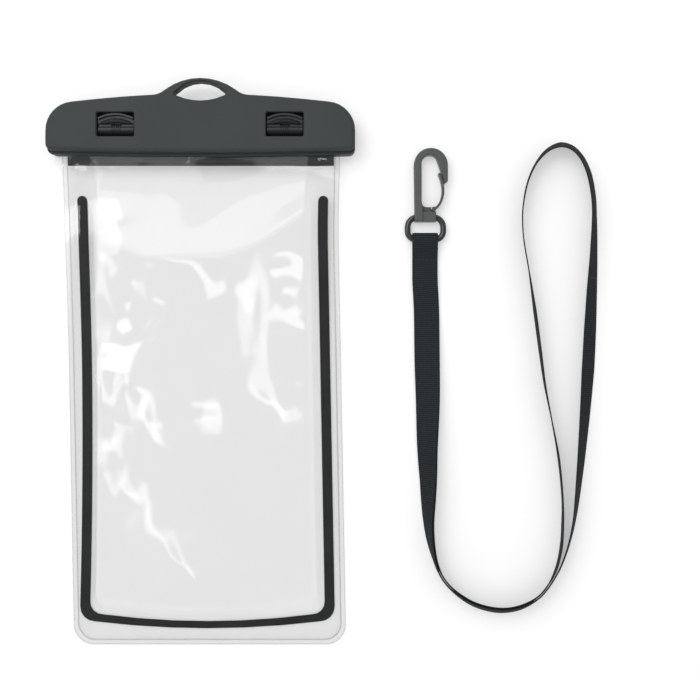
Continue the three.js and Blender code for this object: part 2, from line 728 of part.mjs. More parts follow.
// Plan points and faces of a sheet: nested outlines joined by strips, and the innermost one filled.
function sheetGrid(outlines) {
  const runs = outlines.map(outlineRun);
  const count = runs[0].length;
  const points = runs.flat();
  const rings = points.map((_, i) => Math.floor(i / count));
  const faces = [];
  for (let r = 0; r < runs.length - 1; r++)
    for (let i = 0; i < count; i++) {
      const j = (i + 1) % count;
      faces.push([r * count + i, r * count + j, (r + 1) * count + j, (r + 1) * count + i]);
    }
  const inner = (runs.length - 1) * count;
  const index = [];
  for (let row = 0; row <= ROWS; row++) {
    index.push([]);
    for (let column = 0; column <= COLUMNS; column++) {
      if (column === 0) index[row].push(inner + row);
      else if (row === ROWS) index[row].push(inner + ROWS + column);
      else if (column === COLUMNS) index[row].push(inner + 2 * ROWS + COLUMNS - row);
      else if (row === 0) index[row].push(inner + count - column);
      else {
        const share = column / COLUMNS;
        const down = row / ROWS;
        const left = points[inner + row];
        const right = points[inner + 2 * ROWS + COLUMNS - row];
        const above = points[inner + count - column];
        const below = points[inner + ROWS + column];
        const corners = [inner, inner + 2 * ROWS + COLUMNS, inner + ROWS, inner + ROWS + COLUMNS];
        const [a, b, c, d] = corners.map((i) => points[i]);
        const mix = (axis) =>
          left[axis] * (1 - share) +
          right[axis] * share +
          above[axis] * (1 - down) +
          below[axis] * down -
          (a[axis] * (1 - share) + b[axis] * share) * (1 - down) -
          (c[axis] * (1 - share) + d[axis] * share) * down;
        index[row].push(points.length);
        points.push(point(mix("x"), mix("y")));
        rings.push(runs.length - 1);
      }
    }
  }
  for (let row = 0; row < ROWS; row++)
    for (let column = 0; column < COLUMNS; column++)
      faces.push([
        index[row][column],
        index[row + 1][column],
        index[row + 1][column + 1],
        index[row][column + 1],
      ]);
  const rim = Array.from({ length: count }, (_, i) => i);
  return { points, rings, faces, rims: [rim] };
}

// A plan grid given an upper and a lower height at each point.
function sheet({ points, faces, rims }, upper, lower) {
  const count = points.length;
  const corners = [
    ...points.map((p, i) => new THREE.Vector3(p.x, p.y, upper(p, i))),
    ...points.map((p, i) => new THREE.Vector3(p.x, p.y, lower(p, i))),
  ];
  const all = faces.flatMap((face) => [face, face.map((i) => i + count).reverse()]);
  for (const rim of rims)
    rim.forEach((here, i) => {
      const next = rim[(i + 1) % rim.length];
      all.push([here, here + count, next + count, next]);
    });
  return closedGeometry(corners, all);
}

function filmBack() {
  const grid = sheetGrid([{ side: 0, foot: 0, top: 0, radius: FOOT_CORNER_RADIUS, follow: 0 }]);
  const geometry = sheet(
    grid,
    (p) => lift(p.y) + FILM,
    (p) => lift(p.y),
  );
  return meshOf("film_back", geometry, materials.film);
}

function filmFront() {
  const wallSide = BAND_INSET_SIDE + BAND_WIDTH_SIDE + TRAY_INSET;
  const wallFoot = BAND_INSET_FOOT + BAND_WIDTH_FOOT + TRAY_INSET;
  const wall = (share, top) => ({
    side: wallSide + TRAY_RUN_SIDE * share,
    foot: wallFoot + TRAY_RUN_FOOT * share,
    top,
    radius: 6 - 2 * share,
    follow: 1,
  });
  const weld = WELD_WIDTH + WELD_STEP;
  const outlines = [
    { side: 0, foot: 0, top: 0, radius: FOOT_CORNER_RADIUS, follow: 0 },
    { side: WELD_WIDTH, foot: WELD_WIDTH, top: 0.3, radius: FOOT_CORNER_RADIUS - 1, follow: 0 },
    { side: weld, foot: weld, top: 0.7, radius: FOOT_CORNER_RADIUS - 1.5, follow: 0 },
    wall(0, 2),
    wall(0.2, 3),
    wall(0.45, 4),
    wall(0.7, 5),
    wall(1, 6.5),
  ];
  const rise = [0, 0, 0, 0, 0.12, 0.55, 0.87, 1]; // share of the tray's height at each outline
  const grid = sheetGrid(outlines);
  const wallRise = (p) => {
    const inset = halfWidth(p.y) - Math.abs(p.x - centreX(p.y) - BAND_OFFSET_X) - wallSide;
    return ease(clamp01(inset / TRAY_RUN_SIDE));
  };
  const height = (p, i) => {
    const ring = grid.rings[i];
    const share = p.y > CLAMP_EDGE_Y - 8 ? wallRise(p) : rise[ring];
    const up = share * trayEnd(p.x, p.y);
    return (panelTop(p.x, p.y) - FILM - frontRest(p.y)) * up;
  };
  const welded = BAND + SEAM; // the rim is pressed down onto the back film
  const lower = (p, i) => frontRest(p.y) + height(p, i) - (grid.rings[i] < 2 ? welded : 0);
  const geometry = sheet(grid, (p, i) => lower(p, i) + FILM, lower);
  return meshOf("film_front", geometry, materials.film);
}

// The U-shaped band between the films, open towards the mouth.
function blackBorder() {
  const top = MOUTH_TOP_Y - BAND_TOP_Y;
  const outer = { side: BAND_INSET_SIDE, foot: BAND_INSET_FOOT, top, radius: 6 };
  const inner = {
    side: BAND_INSET_SIDE + BAND_WIDTH_SIDE,
    foot: BAND_INSET_FOOT + BAND_WIDTH_FOOT,
    top,
    radius: 5,
  };
  const length = 2 * ROWS + COLUMNS + 1;
  const runs = [outer, inner].map((inset) =>
    outlineRun({ ...inset, follow: 1 }).slice(0, length),
  );
  const faces = Array.from({ length: length - 1 }, (_, i) => [
    i,
    i + 1,
    length + i + 1,
    length + i,
  ]);
  const along = Array.from({ length }, (_, i) => i);
  const rim = [...along, ...along.map((i) => 2 * length - 1 - i)];
  const geometry = sheet(
    { points: runs.flat(), faces, rims: [rim] },
    (p) => lift(p.y) + FILM + SEAM + BAND,
    (p) => lift(p.y) + FILM + SEAM,
  );
  const round = BAND_WIDTH_SIDE / 2;
  const corners = [-1, 1].map((sign) => {
    const x = centreX(BAND_TOP_Y) + BAND_OFFSET_X + sign * (halfWidth(BAND_TOP_Y) - BAND_INSET_SIDE - round);
    const y = BAND_TOP_Y - round;
    return cut(
      box([x - 2 * round, y, 0], [x + 2 * round, BAND_TOP_Y + 1, CLAMP_THICKNESS]),
      plate(circle(point(x, y), round, 20), -1, CLAMP_THICKNESS + 1),
    );
  });
  return meshOf("black_border", geometryOf(cut(solidOf(geometry), ...corners)), materials.band);
}

// A dark strip across the mouth, on the inner face of one film.
function mouthStrip(name, low) {
  const half = POUCH_HALF_WIDTH - WELD_WIDTH - WELD_STEP - STRIP_SIDE_GAP + MOUTH_FLARE;
  const from = CLAMP_EDGE_Y - CLAMP_BOW - STRIP_SHOWS;
  const to = MOUTH_TOP_Y - STRIP_SHORT;
  const levels = 4;
  const points = Array.from({ length: levels + 1 }, (_, i) => {
    const y = to + ((from - to) * i) / levels;
    return [point(MOUTH_CENTRE_X - half, y), point(MOUTH_CENTRE_X + half, y)];
  }).flat();
  const faces = Array.from({ length: levels }, (_, i) => [
    2 * i,
    2 * i + 2,
    2 * i + 3,
    2 * i + 1,
  ]);
  const down = Array.from({ length: levels + 1 }, (_, i) => 2 * i);
  const rim = [...down, ...down.map((i) => 2 * levels + 1 - i)];
  const geometry = sheet(
    { points, faces, rims: [rim] },
    (p) => low(p.y) + STRIP,
    (p) => low(p.y),
  );
  return meshOf(name, geometry, materials.strip);
}

// Lanyard

function hookBody() {
  const left = HOOK_ARCH.x - HOOK_OUTER_RADIUS;
  const innerLeft = left + HOOK_STEM_WIDTH;
  const innerCentre = point(innerLeft + HOOK_INNER_RADIUS, HOOK_ARCH.y + HOOK_INNER_RISE);
  const corner = HOOK_OPENING_CORNER;
  const right = HOOK_ARCH.x + HOOK_OUTER_RADIUS;
  const shankTop = SHANK_FOOT_Y + SHANK_HEIGHT;
  const outline = [
    point(left + 0.3, SHANK_FOOT_Y),
    point(SHANK_RIGHT_X, SHANK_FOOT_Y),
    point(SHANK_RIGHT_X, shankTop),
    ...bend(
      point(innerLeft + corner, shankTop),
      point(innerLeft, shankTop),
      point(innerLeft, shankTop + corner),
      4,
    ),
    ...arc(innerCentre, HOOK_INNER_RADIUS, 180, 36, 8),
    NOSE_TIP,
    point(right, HOOK_ARCH.y - NOSE_LENGTH + 0.9),
    ...arc(HOOK_ARCH, HOOK_OUTER_RADIUS, 0, 180, 14),
  ];
  const stepZ = HOOK_THICKNESS - SHANK_STEP;
  const past = SHANK_RIGHT_X + 1;
  const solid = cut(
    plate(outline, 0, HOOK_THICKNESS, HOOK_EDGE_ROUND),
    box([SHANK_STEP_X, SHANK_FOOT_Y - 1, stepZ], [past, shankTop + 1, HOOK_THICKNESS + 1]),
    box(
      [SHANK_STEP_X, shankTop - SHANK_RECESS, stepZ - SHANK_RECESS_DEPTH],
      [past, shankTop + 1, HOOK_THICKNESS + 1],
    ),
    bar(
      circle(point(RING_BAR_Y, HOOK_THICKNESS / 2), RING_RADIUS + RING_BORE_CLEARANCE, 16),
      left - 1,
      past,
    ),
    plate(circle(GATE_ROOT, GATE_KNUCKLE_RADIUS + GATE_CLEARANCE, 16), -1, HOOK_THICKNESS + 1),
    box([GATE_ROOT.x, GATE_ROOT.y, -1], [past, shankTop + 1, HOOK_THICKNESS + 1]),
  );
  return meshOf("hook_body", geometryOf(solid), materials.hook);
}

function hookGate() {
  const curve = new THREE.CatmullRomCurve3(
    [GATE_ROOT.toArray(), ...GATE_CURVE].map(([x, y]) => new THREE.Vector3(x, y, 0)),
  );
  const steps = 14;
  const sides = [1, -1].map((sign) =>
    Array.from({ length: steps + 1 }, (_, i) => {
      const along = curve.getTangent(i / steps);
      const here = curve.getPoint(i / steps);
      const offset = (sign * GATE_THICKNESS) / 2;
      return point(here.x + along.y * offset, here.y - along.x * offset);
    }),
  );
  const low = GATE_NARROWER;
  const high = HOOK_THICKNESS - GATE_NARROWER;
  const solid = join(
    plate([...sides[0], ...sides[1].reverse()], low, high),
    plate(circle(GATE_ROOT, GATE_KNUCKLE_RADIUS, 16), low, high),
  );
  return meshOf("hook_gate", geometryOf(solid), materials.hook);
}

function hookRing() {
  const z = HOOK_THICKNESS / 2;
  const footY = RING_BAR_Y - 2 * RING_HALF_HEIGHT;
  const corner = (sign, top, from) => {
    const radius = top ? RING_TOP_RADIUS : RING_FOOT_RADIUS;
    const x = RING_X + sign * (RING_HALF_WIDTH - radius);
    const y = top ? RING_BAR_Y - radius : footY + radius;
    return arc(point(x, y), radius, from, from + 90, 6);
  };
  const path = [
    ...corner(1, false, -90),
    ...corner(1, true, 0),
    ...corner(-1, true, 90),
    ...corner(-1, false, 180),
  ];
  const sections = path.map((here, i) => {
    const before = path[(i + path.length - 1) % path.length];
    const after = path[(i + 1) % path.length];
    const along = after.clone().sub(before).normalize();
    return circle(point(0, 0), RING_RADIUS, 12).map(
      (p) => new THREE.Vector3(here.x + along.y * p.x, here.y - along.x * p.x, z + p.y),
    );
  });
  return meshOf("hook_ring", sweep(sections, true), materials.ring);
}

// Height of the webbing's middle above the surface, at a lean, for one layer or two.
function webbingHeight(lean, layers) {
  const angle = THREE.MathUtils.degToRad(lean);
  const stack = layers * WEBBING_THICKNESS + (layers - 1) * WEBBING_LAYER_GAP;
  const upright = (WEBBING_WIDTH / 2) * Math.sin(angle);
  return WEBBING_OFF_FLOOR + upright + (stack / 2) * Math.abs(Math.cos(angle));
}

// The webbing's whole route as points with a lean and a sideways step off the route's middle line.
function webbingRoute() {
  const half = WEBBING_THICKNESS / 2;
  const layer = WEBBING_THICKNESS + WEBBING_LAYER_GAP;
  const lowest = WEBBING_OFF_FLOOR + half;
  const barY = RING_BAR_Y - 2 * RING_HALF_HEIGHT + FOLD_SHIFT;
  const barZ = HOOK_THICKNESS / 2;
  const foldRadius = RING_RADIUS + FOLD_CLEARANCE + half;
  const laid = (y, z) => ({ x: WEBBING_X, y, z, lean: 0, step: 0, flat: true });
  const fold = [-90, -45, 0, 45, 90].map((degrees) => {
    const angle = THREE.MathUtils.degToRad(degrees);
    return laid(barY + foldRadius * Math.cos(angle), barZ + foldRadius * Math.sin(angle));
  });
  const tail = [laid(SEWN_FOOT_Y, lowest), laid(SEWN_TOP_Y, lowest)];
  const sewn = [laid(SEWN_TOP_Y, lowest + 2 * layer), laid(SEWN_FOOT_Y, lowest + 2 * layer)];
  const doubled = (lean, list) =>
    list.map(([x, y, angle]) => ({
      x,
      y,
      z: webbingHeight(angle, 2),
      lean: lean(angle),
      step: layer / 2,
      flat: false,
    }));
  const loop = NECK_LOOP.map(([x, y, lean]) => ({
    x,
    y,
    z: webbingHeight(lean, 1),
    lean,
    step: 0,
    flat: false,
  }));
  return [
    ...tail,
    ...fold,
    ...sewn,
    ...doubled((angle) => angle, DOUBLED_RUN),
    ...loop,
    ...doubled((angle) => 180 - angle, [...DOUBLED_RUN].reverse()),
    { ...laid(SEWN_FOOT_Y, lowest + layer), lean: 180 },
    { ...laid(SEWN_TOP_Y - 1, lowest + layer), lean: 180 },
  ];
}

function neckStrap() {
  const route = webbingRoute();
  const up = new THREE.Vector3(0, 0, 1);
  const across = new THREE.Vector3(1, 0, 0);
  // Each route point is first moved to its own layer.
  const middle = route.map((here, i) => {
    const before = route[Math.max(0, i - 1)];
    const after = route[Math.min(route.length - 1, i + 1)];
    const along = new THREE.Vector3(after.x - before.x, after.y - before.y, 0).normalize();
    const angle = THREE.MathUtils.degToRad(here.lean);
    const side = new THREE.Vector3().crossVectors(up, along);
    const out = up.clone().multiplyScalar(Math.cos(angle)).addScaledVector(side, -Math.sin(angle));
    return new THREE.Vector3(here.x, here.y, here.z).addScaledVector(out, here.step);
  });
  const curve = new THREE.CatmullRomCurve3(middle, false, "centripetal");
  const spans = middle.length - 1;
  const sections = [];
  for (let i = 0; i < spans; i++) {
    const steps = Math.max(2, Math.ceil(middle[i].distanceTo(middle[i + 1]) / WEBBING_STEP));
    for (let s = 0; s < (i === spans - 1 ? steps + 1 : steps); s++) {
      const share = s / steps;
      const u = (i + share) / spans;
      const here = curve.getPoint(u);
      const along = curve.getTangent(u);
      const lean = route[i].lean + (route[i + 1].lean - route[i].lean) * share;
      const angle = THREE.MathUtils.degToRad(lean);
      const flat = route[i].flat && route[i + 1].flat;
      const side = new THREE.Vector3().crossVectors(up, along);
      const width = flat
        ? across.clone()
        : side
            .normalize()
            .multiplyScalar(Math.cos(angle))
            .addScaledVector(up, Math.sin(angle));
      const out = new THREE.Vector3().crossVectors(along, width).normalize();
      sections.push(
        [
          [-1, -1],
          [1, -1],
          [1, 1],
          [-1, 1],
        ].map(([a, b]) =>
          here
            .clone()
            .addScaledVector(width, (a * WEBBING_WIDTH) / 2)
            .addScaledVector(out, (b * WEBBING_THICKNESS) / 2),
        ),
      );
    }
  }
  return meshOf("neck_strap", sweep(sections, false), materials.webbing);
}

const frontHalf = new THREE.Group();
frontHalf.add(clampFront(), latch("latch_left"), latch("latch_right"));
const pouch = new THREE.Group();
pouch.add(
  frontHalf,
  clampBack(),
  gasket(),
  filmFront(),
  filmBack(),
  blackBorder(),
  mouthStrip("mouth_strip_front", (y) => frontRest(y) - SEAM - STRIP),
  mouthStrip("mouth_strip_back", (y) => lift(y) + FILM + SEAM),
);
const lanyard = new THREE.Group();
lanyard.add(hookBody(), hookGate(), hookRing(), neckStrap());
part.add(pouch, lanyard);

export default part;
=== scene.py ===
"""A clear waterproof phone pouch with its neck lanyard, lying on a pale floor and seen from above.

Lengths are in metres: values written in millimetres are multiplied by MM. The frame is the part's own:
X across the clamp, Y from the pouch's foot to the clamp, Z up.
"""

import math

import bpy
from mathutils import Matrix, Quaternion, Vector, noise


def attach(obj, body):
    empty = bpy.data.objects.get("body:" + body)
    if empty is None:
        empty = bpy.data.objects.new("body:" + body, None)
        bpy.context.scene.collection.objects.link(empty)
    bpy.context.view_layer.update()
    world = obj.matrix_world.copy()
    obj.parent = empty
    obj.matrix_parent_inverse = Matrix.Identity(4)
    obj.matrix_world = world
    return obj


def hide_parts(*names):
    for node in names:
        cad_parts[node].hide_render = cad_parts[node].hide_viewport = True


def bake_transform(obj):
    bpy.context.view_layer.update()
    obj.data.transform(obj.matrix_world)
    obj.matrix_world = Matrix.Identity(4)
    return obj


MM = 0.001

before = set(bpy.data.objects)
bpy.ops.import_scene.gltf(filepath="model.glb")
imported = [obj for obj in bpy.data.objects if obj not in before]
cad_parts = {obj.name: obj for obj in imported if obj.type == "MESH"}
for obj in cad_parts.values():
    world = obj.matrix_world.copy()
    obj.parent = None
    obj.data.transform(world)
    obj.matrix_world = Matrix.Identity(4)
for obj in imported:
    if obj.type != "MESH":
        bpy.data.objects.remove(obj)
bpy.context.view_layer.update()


# Camera


def add_camera(place, height_above_floor, field_width):
    data = bpy.data.cameras.new("camera")
    data.sensor_width = 36
    data.lens = 36 * height_above_floor / field_width
    camera = bpy.data.objects.new("camera", data)
    camera.location = place
    bpy.context.scene.collection.objects.link(camera)
    bpy.context.scene.camera = camera


CAMERA_X = 58 * MM
CAMERA_Y = 5.5 * MM
CAMERA_HEIGHT = 480 * MM
FIELD_WIDTH = 277.2 * MM  # what the picture takes in at the floor
add_camera((CAMERA_X, CAMERA_Y, CAMERA_HEIGHT), CAMERA_HEIGHT, FIELD_WIDTH)


# Meshes


def add_mesh(name, corners, faces, smooth=True):
    mesh = bpy.data.meshes.new(name)
    mesh.from_pydata([tuple(c) for c in corners], [], faces)
    mesh.validate()
    if smooth:
        mesh.shade_smooth()
    piece = bpy.data.objects.new(name, mesh)
    bpy.context.scene.collection.objects.link(piece)
    return piece


def clamp01(value):
    return min(1.0, max(0.0, value))


def ease(t):
    return t * t * (3 - 2 * t)


def wave(x, y, scale, seed):
    """Smooth noise from about -1 to 1 over the plan, in millimetres."""
    return noise.noise(Vector((x / scale, y / scale, seed))) * 1.6


# Webbing

WEBBING_WIDTH = 10.0
WEBBING_THICKNESS = 0.5
WEBBING_LAYER_GAP = 0.25
WEBBING_OFF_FLOOR = 0.2
WEBBING_X = 87.6
RING_BAR = (49.0, 2.5)  # y and z of the bar that the webbing is folded round
RING_RADIUS = 1.2
FOLD_CLEARANCE = 0.75
FOLD_SHIFT = 0.2
SEWN_TOP_Y = 42
SEWN_FOOT_Y = 33
STEP = 1.0  # length of one section of the swept ribbon

# x, y and lean in degrees, 0 lying flat and 90 standing on its edge
DOUBLED_RUN = [
    (88.2, 21.8, 0),
    (88.4, 1.8, 14),
    (88.6, -14.1, 27),
    (88.4, -33.9, 45),
    (88.7, -45.8, 56),
    (88.7, -53.6, 63.5),
    (88.8, -61.4, 73),
    (89.6, -69.2, 80),
    (91.4, -77, 87.5),
    (93.5, -82.4, 88.5),
    (96.3, -86.5, 85.5),
    (101.8, -91.3, 80.5),
    (107.9, -94.6, 76),
    (116.8, -96.5, 72.5),
    (124.7, -95.4, 72),
    (131.6, -91.7, 75),
    (135.3, -87.7, 75.5),
]
NECK_LOOP = [
    (138.8, -83, 75.7),
    (140.4, -80, 76),
    (142.3, -75.3, 76),
    (144.2, -69.1, 75.4),
    (146, -60.7, 73.4),
    (147.8, -45.7, 66.8),
    (149.8, -24.1, 58.6),
    (151.4, -2.5, 51),
    (152.2, 13.1, 52),
    (152.9, 28.8, 56.7),
    (153.6, 44.5, 64.2),
    (153.8, 59, 70),
    (153.3, 66.8, 69),
    (151.4, 75.7, 67.8),
    (148.5, 81.5, 68),
    (145.2, 84.7, 68),
    (141.3, 85.9, 70.2),
    (136.2, 84.2, 80.2),
    (131.2, 79, 90.1),
    (127.7, 71.4, 94.5),
    (125.9, 62.3, 97),
    (125.6, 57, 98),
    (126, 49.6, 98.6),
    (128.1, 36.7, 98.8),
    (130.4, 21, 92.9),
    (132.5, 5.3, 93.2),
    (134.4, -8.4, 95.8),
    (137, -21.7, 98.6),
    (139.7, -36.6, 95.7),
    (141.3, -53.5, 97.2),
    (141.3, -63.1, 95.7),
    (140.7, -71.9, 95.6),
    (138.6, -80.7, 98.5),
]
UP = Vector((0, 0, 1))


def webbing_height(lean, layers):
    stack = layers * WEBBING_THICKNESS + (layers - 1) * WEBBING_LAYER_GAP
    angle = math.radians(lean)
    upright = WEBBING_WIDTH / 2 * math.sin(angle)
    return WEBBING_OFF_FLOOR + upright + stack / 2 * abs(math.cos(angle))


def webbing_route():
    """The middle of the webbing as (point, lean, step off the middle line, lies flat)."""
    half = WEBBING_THICKNESS / 2
    layer = WEBBING_THICKNESS + WEBBING_LAYER_GAP
    lowest = WEBBING_OFF_FLOOR + half
    bar_y, bar_z = RING_BAR
    radius = RING_RADIUS + FOLD_CLEARANCE + half

    def laid(y, z, lean=0):
        return Vector((WEBBING_X, y, z)), lean, 0, True

    def doubled(points, turn):
        return [
            (Vector((x, y, webbing_height(lean, 2))), turn(lean), layer / 2, False)
            for x, y, lean in points
        ]

    fold = []
    for degrees in (-90, -45, 0, 45, 90):
        angle = math.radians(degrees)
        y = bar_y + FOLD_SHIFT + radius * math.cos(angle)
        fold.append(laid(y, bar_z + radius * math.sin(angle)))
    return [
        laid(SEWN_FOOT_Y, lowest),
        laid(SEWN_TOP_Y, lowest),
        *fold,
        laid(SEWN_TOP_Y, lowest + 2 * layer),
        laid(SEWN_FOOT_Y, lowest + 2 * layer),
        *doubled(DOUBLED_RUN, lambda lean: lean),
        *[
            (Vector((x, y, webbing_height(lean, 1))), lean, 0, False)
            for x, y, lean in NECK_LOOP
        ],
        *doubled(DOUBLED_RUN[::-1], lambda lean: 180 - lean),
        laid(SEWN_FOOT_Y, lowest + layer, 180),
        laid(SEWN_TOP_Y - 1, lowest + layer, 180),
    ]


def layer_middles(route):
    """The route's points, each moved to the middle of its own layer."""
    middles = []
    for i, (here, lean, step, _) in enumerate(route):
        before = route[max(0, i - 1)][0]
        after = route[min(len(route) - 1, i + 1)][0]
        along = Vector((after.x - before.x, after.y - before.y, 0)).normalized()
        angle = math.radians(lean)
        out = UP * math.cos(angle) - UP.cross(along) * math.sin(angle)
        middles.append(here + out * step)
    return middles


def curve_span(points, i):
    """A centripetal curve through the points, between point i and the next, as a function of 0 to 1."""
    b, c = points[i], points[i + 1]
    a = points[i - 1] if i else b * 2 - c
    d = points[i + 2] if i + 2 < len(points) else c * 2 - b
    spans = [max((q - p).length ** 0.5, 1e-4) for p, q in ((a, b), (b, c), (c, d))]
    before, here, after = spans
    start = ((b - a) / before - (c - a) / (before + here) + (c - b) / here) * here
    end = ((c - b) / here - (d - b) / (here + after) + (d - c) / after) * here

    def at(t):
        return (
            b
            + start * t
            + (b * -3 + c * 3 - start * 2 - end) * t**2
            + (b * 2 - c * 2 + start + end) * t**3
        )

    def slope(t):
        return (
            start
            + (b * -3 + c * 3 - start * 2 - end) * (2 * t)
            + (b * 2 - c * 2 + start + end) * (3 * t**2)
        )

    return at, slope


def webbing_frames():
    """Sections of the swept ribbon as (middle, width direction, thickness direction)."""
    route = webbing_route()
    middles = layer_middles(route)
    frames = []
    for i in range(len(route) - 1):
        at, slope = curve_span(middles, i)
        steps = max(3, round((middles[i + 1] - middles[i]).length / STEP))
        last = i == len(route) - 2
        for s in range(steps + 1 if last else steps):
            t = s / steps
            along = slope(t).normalized()
            lean = route[i][1] + (route[i + 1][1] - route[i][1]) * t
            if route[i][3] and route[i + 1][3]:
                width = Vector((1, 0, 0))
            else:
                angle = math.radians(lean)
                side = UP.cross(along).normalized()
                width = side * math.cos(angle) + UP * math.sin(angle)
            out = along.cross(width).normalized()
            frames.append((at(t), width, out))
    return frames


def make_strap():
    frames = webbing_frames()
    half_width = WEBBING_WIDTH / 2
    half = WEBBING_THICKNESS / 2
    # Round the section as (across, through): a flat band with soft selvedges.
    section = [
        (-half_width, 0),
        (-half_width + 0.18, -half * 0.85),
        (-half_width + 0.6, -half),
        (half_width - 0.6, -half),
        (half_width - 0.18, -half * 0.85),
        (half_width, 0),
        (half_width - 0.18, half * 0.85),
        (half_width - 0.6, half),
        (-half_width + 0.6, half),
        (-half_width + 0.18, half * 0.85),
    ]
    corners = []
    lengths = [0.0]
    for i, (middle, width, out) in enumerate(frames):
        if i:
            lengths.append(lengths[-1] + (middle - frames[i - 1][0]).length)
        for across, through in section:
            corners.append((middle + width * across + out * through) * MM)
    count = len(section)
    faces = [tuple(range(count))]
    for s in range(len(frames) - 1):
        for i in range(count):
            j = (i + 1) % count
            faces.append((s * count + j, s * count + i, (s + 1) * count + i, (s + 1) * count + j))
    faces.append(tuple(range(len(corners) - 1, len(corners) - count - 1, -1)))
    strap = add_mesh("strap_webbing", corners, faces)
    # The map holds millimetres along and across the webbing.
    layer = strap.data.uv_layers.new(name="UVMap")
    for loop in strap.data.loops:
        s, i = divmod(loop.vertex_index, count)
        layer.data[loop.index].uv = (lengths[s] / 1000, (section[i][0] + half_width) / 1000)
    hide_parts("neck_strap")
    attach(strap, "pouch")
    return strap


STITCH_ROWS_Y = (40.6, 33.9)
STITCH_LENGTH = 1.15
STITCH_PITCH = 1.5
THREAD_RADIUS = 0.16


def make_stitches(strap):
    """Two rows of thread across the sewn end of the webbing, sunk into its upper face."""
    frames = webbing_frames()
    corners = []
    faces = []
    sides = 8
    for row_y in STITCH_ROWS_Y:
        top = max(
            (f for f in frames if abs(f[0].y - row_y) < 0.8 and f[2].z > 0.5),
            key=lambda f: (round(f[0].z, 1), -abs(f[0].y - row_y)),
        )
        middle, width, out = top
        for k in range(-2, 4):
            centre = middle + width * (k - 0.5) * STITCH_PITCH
            centre = centre + out * (WEBBING_THICKNESS / 2)
            along = width.cross(out)
            base = len(corners)
            rings = [(-1, 0.0, -0.16), (-0.8, 0.8, 0.0), (0, 1.0, 0.1), (0.8, 0.8, 0.0), (1, 0.0, -0.16)]
            for place, size, height in rings:
                for n in range(sides):
                    angle = 2 * math.pi * n / sides
                    radius = max(size, 0.05) * THREAD_RADIUS
                    corners.append(
                        (
                            centre
                            + width * (place * STITCH_LENGTH / 2)
                            + out * (height * 0.8 + radius * math.sin(angle))
                            + along * (radius * math.cos(angle))
                        )
                        * MM
                    )
            for r in range(len(rings) - 1):
                for n in range(sides):
                    m = (n + 1) % sides
                    a = base + r * sides
                    faces.append((a + n, a + m, a + sides + m, a + sides + n))
            faces.append(tuple(base + n for n in reversed(range(sides))))
            end = base + (len(rings) - 1) * sides
            faces.append(tuple(end + n for n in range(sides)))
    stitches = add_mesh("strap_stitches", corners, faces)
    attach(stitches, "pouch")
    return stitches


strap = make_strap()
stitches = make_stitches(strap)


# Films

CLAMP_EDGE_Y = 82.5
CLAMP_BOW = 0.9
FILM = 0.4
BAND = 0.25
STRIP = 0.3
STRIP_HALF_WIDTH = 52.0
STRIP_SHOWS = 4.0  # below the clamp
STRIP_SHORT = 1
SEAM = 0.15
FILM_LIFT = 5.0  # underside of the back film inside the clamp
PARTING_Z = 6.0
MOUTH_TOP_Y = 87.0
FOOT_Y = -110.9
POUCH_HALF_WIDTH = 53.8
MOUTH_FLARE = 0.5
MOUTH_CENTRE_X = -0.3
LEAN = 0.0185
LEAN_TOP_Y = 50
FOOT_CORNER_RADIUS = 8
LIFT_START_Y = -5
WELD_WIDTH = 1.6
WELD_STEP = 0.6
WALL_INSET_SIDE = 9.0
WALL_INSET_FOOT = 12.2
TRAY_HEIGHT = 9.2
TRAY_CROWN = 0.4
TRAY_RUN_SIDE = 4.8
TRAY_RUN_FOOT = 8.7
TRAY_SHIFT_X = 0.5  # the tray sits this far off the outline's middle
TRAY_SWAY = 2.7  # its left side runs out this much further at the foot
TRAY_SWAY_FROM_Y = 15
TRAY_SWAY_TO_Y = -100
TRAY_FOOT_SAG = 2.7  # the middle of its foot hangs this far below its corners
TRAY_ARC_Y = 41.5
TRAY_ARC_X = -8
TRAY_ARC_RISE = 0.008
FRONT_REST = FILM + SEAM + BAND + SEAM
MOUTH_PART = PARTING_Z + 2 * SEAM + STRIP - FILM_LIFT - FRONT_REST
KINK_Y = CLAMP_EDGE_Y - CLAMP_BOW


def centre_x(y):
    return MOUTH_CENTRE_X + LEAN * max(0, LEAN_TOP_Y - y)


def half_width(y):
    start = CLAMP_EDGE_Y - 32
    return POUCH_HALF_WIDTH + MOUTH_FLARE * ease(clamp01((y - start) / (CLAMP_EDGE_Y - start)))


def lift(y):
    t = clamp01((y - LIFT_START_Y) / (KINK_Y - LIFT_START_Y))
    return FILM_LIFT * t * t * (1.6 - 0.6 * t)


def front_rest(y):
    start = CLAMP_EDGE_Y - 22
    return lift(y) + FRONT_REST + MOUTH_PART * ease(clamp01((y - start) / (KINK_Y - start)))


def panel_top(x, y):
    across = (x - centre_x(y)) / POUCH_HALF_WIDTH
    return TRAY_HEIGHT + TRAY_CROWN * (1 - across**2)


def tray_end(x, y):
    arc_y = TRAY_ARC_Y + TRAY_ARC_RISE * (x - TRAY_ARC_X) ** 2
    mouth_y = KINK_Y - 0.3
    return clamp01((mouth_y - y) / (mouth_y - arc_y))


